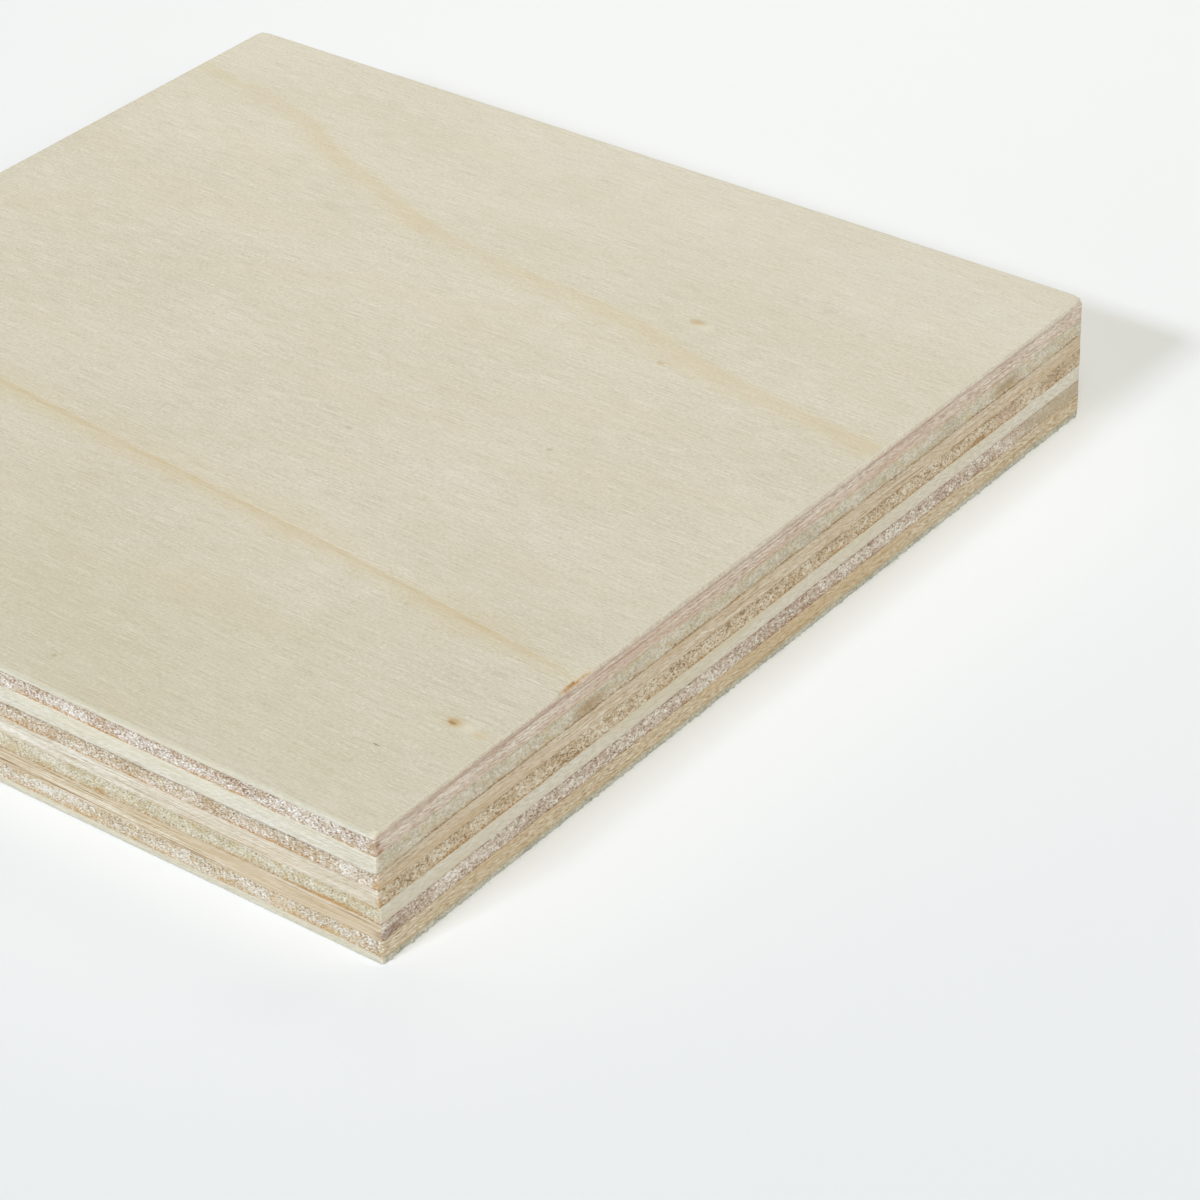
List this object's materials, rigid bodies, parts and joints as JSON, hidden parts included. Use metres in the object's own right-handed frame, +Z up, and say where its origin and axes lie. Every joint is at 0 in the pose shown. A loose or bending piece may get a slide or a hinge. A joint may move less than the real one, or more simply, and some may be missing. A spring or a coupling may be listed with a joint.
{
  "type": "plywood sheet",
  "caption": "Square sheet of plywood with pale sanded faces and sawn edges that show its crossed veneers, for panels, shelves and boxes.",
  "frame": {"origin": "middle of the underside, on the surface that the sheet lies on", "axes": "+X along the grain of the face veneer, +Y across it, +Z up out of the face"},
  "size_m": [0.144, 0.144, 0.018],
  "materials": {
    "face_veneer": "rotary-cut face veneer, sanded and bare",
    "crossband": "rotary-cut inner veneer, bare, sawn at the edges",
    "centre_ply": "rotary-cut inner veneer, bare, sawn at the edges",
    "back_veneer": "rotary-cut back veneer, sanded and bare"
  },
  "bodies": {
    "root": {"back_veneer": "back_veneer", "crossband_1": "crossband", "centre_ply_1": "centre_ply", "crossband_2": "crossband", "centre_ply_2": "centre_ply", "crossband_3": "crossband", "centre_ply_3": "centre_ply", "crossband_4": "crossband", "face_veneer": "face_veneer"}
  },
  "joints": []
}
